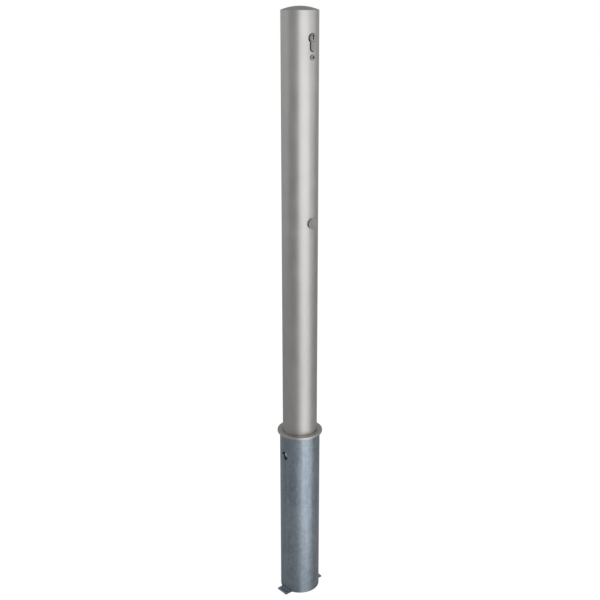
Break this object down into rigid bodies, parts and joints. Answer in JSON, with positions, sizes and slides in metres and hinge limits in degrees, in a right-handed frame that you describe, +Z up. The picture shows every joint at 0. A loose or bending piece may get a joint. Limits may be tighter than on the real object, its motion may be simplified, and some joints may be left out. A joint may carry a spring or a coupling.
{
  "type": "removable locking post",
  "caption": "Removable locking post: a domed stainless tube with a key lock and a round disc on its front, in a galvanised ground sleeve with a stainless collar and anchor bar.",
  "frame": {"origin": "on the post's axis at the ground line, the plane of the collar's underside", "axes": "+Z up along the post; the lock, the small screw and the disc face -Y; the latch bolt is thrown to -X; the anchor bar lies along X"},
  "size_m": [0.11, 0.1, 1.3075],
  "materials": {
    "post_steel": "fine brushed stainless",
    "collar_steel": "satin stainless",
    "disc_steel": "machined stainless",
    "galvanised": "hot-dip galvanised, mottled",
    "nickel_brass": "satin nickel plate",
    "plug_brass": "satin nickel plate",
    "screw_steel": "stainless",
    "machined_aluminium": "machined",
    "zinc_steel": "bright zinc plate",
    "bolt_steel": "ground stainless",
    "spring_steel": "drawn wire",
    "pin_brass": "bare brass",
    "black_plastic": "moulded"
  },
  "bodies": {
    "sleeve": {"ground_sleeve": "galvanised", "collar_ring": "collar_steel", "anchor_bar": "galvanised", "sleeve_centring_ring": "galvanised"},
    "post": {"post_tube": "post_steel", "top_cap": "post_steel", "foot_plug": "black_plastic", "cylinder_housing": "nickel_brass", "driver_pins": "pin_brass", "pin_springs": "spring_steel", "chamber_plugs": "pin_brass", "lock_carrier": "machined_aluminium", "carrier_screw": "screw_steel", "cylinder_fixing_screw": "screw_steel", "slider_keeper": "zinc_steel", "keeper_screws": "screw_steel", "rod_guide": "disc_steel", "latch_block": "machined_aluminium", "block_grub_screws": "screw_steel"},
    "plug": {"lock_plug": "plug_brass", "lock_cam": "zinc_steel", "cam_clip": "spring_steel", "key_pins": "pin_brass"},
    "rod": {"cam_slider": "zinc_steel", "drive_rod": "zinc_steel", "rod_pins": "screw_steel", "wedge_plate": "zinc_steel"},
    "bolt": {"latch_bolt": "bolt_steel", "bolt_drive_pin": "screw_steel"}
  },
  "joints": [
    {"name": "post_lift", "type": "slide", "parent": "sleeve", "child": "post", "axis": [0, 0, 1], "range_m": [0, 0.41]},
    {"name": "rod_lift", "type": "slide", "parent": "post", "child": "rod", "axis": [0, 0, 1], "range_m": [0, 0.01697]},
    {"name": "plug_turn", "type": "hinge", "parent": "post", "child": "plug", "pos_m": [0, -0.04, 0.848], "axis": [0, -1, 0], "range_deg": [0, 90]},
    {"name": "bolt_throw", "type": "slide", "parent": "post", "child": "bolt", "axis": [-1, 0, 0], "range_m": [0, 0.006]}
  ],
  "couplings": [
    {"joint": "plug_turn", "follows": "rod_lift", "rad_per_m": 92.56},
    {"joint": "bolt_throw", "follows": "rod_lift", "ratio": 0.35355}
  ]
}
